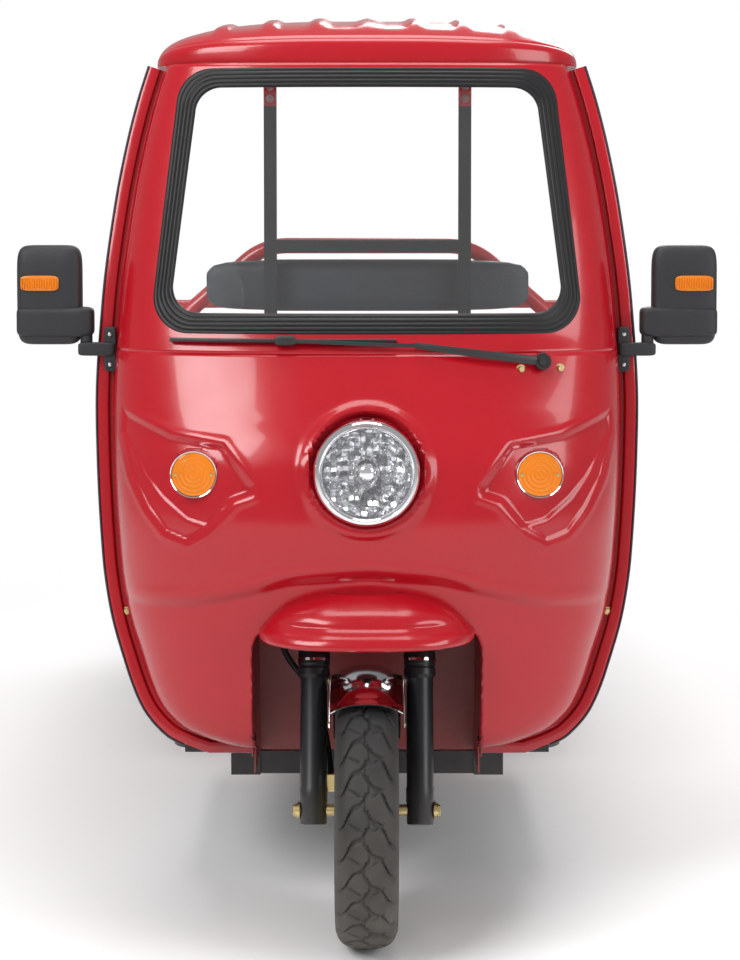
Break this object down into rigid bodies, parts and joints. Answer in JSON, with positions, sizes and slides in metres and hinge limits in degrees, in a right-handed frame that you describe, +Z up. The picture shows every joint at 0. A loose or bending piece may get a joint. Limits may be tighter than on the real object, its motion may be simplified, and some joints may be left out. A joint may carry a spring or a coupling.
{
  "type": "electric cargo tricycle",
  "caption": "Electric cargo tricycle with a steered front wheel, an open-sided half cab with windscreen and roof, and a flat bed with folding sides.",
  "frame": {"origin": "on the ground, midway along the vehicle's length and width", "axes": "-Y is forward, +X is the vehicle's own left, +Z is up"},
  "size_m": [1.366, 3.2004, 1.7844],
  "materials": {
    "red_paint": "gloss",
    "black_paint": "satin",
    "wheel_paint": "gloss",
    "chrome": "polished",
    "zinc_steel": "zinc plated",
    "spring_steel": "matt",
    "glass": "clear",
    "rubber": "matt",
    "tyre": "matt",
    "amber_lens": "amber",
    "red_lens": "red",
    "grey_plastic": "grained",
    "black_plastic": "satin",
    "cushion_cover": "grained vinyl"
  },
  "bodies": {
    "chassis": {"chassis_rails": "black_paint", "cross_members": "black_paint", "steering_neck": "black_paint", "floor_plate": "black_paint", "battery_box": "grey_plastic", "front_shell": "red_paint", "roof_shell": "red_paint", "edge_trim": "rubber", "nose_cowl": "red_paint", "wheel_well": "red_paint", "windscreen_seal": "rubber", "windscreen": "glass", "headlight": "chrome", "front_indicators": "amber_lens", "wiper": "black_plastic", "mirror_left": "grey_plastic", "mirror_right": "grey_plastic", "seat_box": "red_paint", "seat_cushion": "cushion_cover", "backrest": "cushion_cover", "backrest_hoop": "red_paint", "roof_posts": "black_paint", "dash_panel": "black_plastic", "rear_axle": "black_paint", "leaf_springs": "spring_steel", "rear_mudguards": "black_plastic", "bed_floor": "red_paint", "bed_headboard": "red_paint", "tail_lamps": "red_lens", "rear_bumper": "black_paint"},
    "steering": {"fork_yoke": "chrome", "fork_legs": "black_paint", "front_fender": "chrome", "front_axle": "zinc_steel", "brake_cable": "black_plastic", "handlebar": "black_plastic"},
    "front_wheel": {"front_tyre": "tyre", "front_rim": "wheel_paint"},
    "rear_wheel_left": {"rear_tyre_left": "tyre", "rear_rim_left": "wheel_paint"},
    "rear_wheel_right": {"rear_tyre_right": "tyre", "rear_rim_right": "wheel_paint"},
    "side_left": {"dropside_left": "red_paint"},
    "side_right": {"dropside_right": "red_paint"},
    "tail_panel": {"tailgate": "red_paint"}
  },
  "joints": [
    {"name": "steer", "type": "hinge", "parent": "chassis", "child": "steering", "pos_m": [0, -1.308, 0.25], "axis": [0, 0.2924, 0.9563], "range_deg": [-35, 35]},
    {"name": "front_wheel_spin", "type": "hinge", "parent": "steering", "child": "front_wheel", "pos_m": [0, -1.35, 0.25], "axis": [1, 0, 0], "continuous": true},
    {"name": "rear_wheel_left_spin", "type": "hinge", "parent": "chassis", "child": "rear_wheel_left", "pos_m": [0.44, 0.8, 0.25], "axis": [1, 0, 0], "continuous": true},
    {"name": "rear_wheel_right_spin", "type": "hinge", "parent": "chassis", "child": "rear_wheel_right", "pos_m": [-0.44, 0.8, 0.25], "axis": [1, 0, 0], "continuous": true},
    {"name": "side_left_hinge", "type": "hinge", "parent": "chassis", "child": "side_left", "pos_m": [0.552, 0.819, 0.55], "axis": [0, 1, 0], "range_deg": [0, 170]},
    {"name": "side_right_hinge", "type": "hinge", "parent": "chassis", "child": "side_right", "pos_m": [-0.552, 0.819, 0.55], "axis": [0, -1, 0], "range_deg": [0, 170]},
    {"name": "tailgate_hinge", "type": "hinge", "parent": "chassis", "child": "tail_panel", "pos_m": [0, 1.588, 0.55], "axis": [-1, 0, 0], "range_deg": [0, 170]}
  ]
}
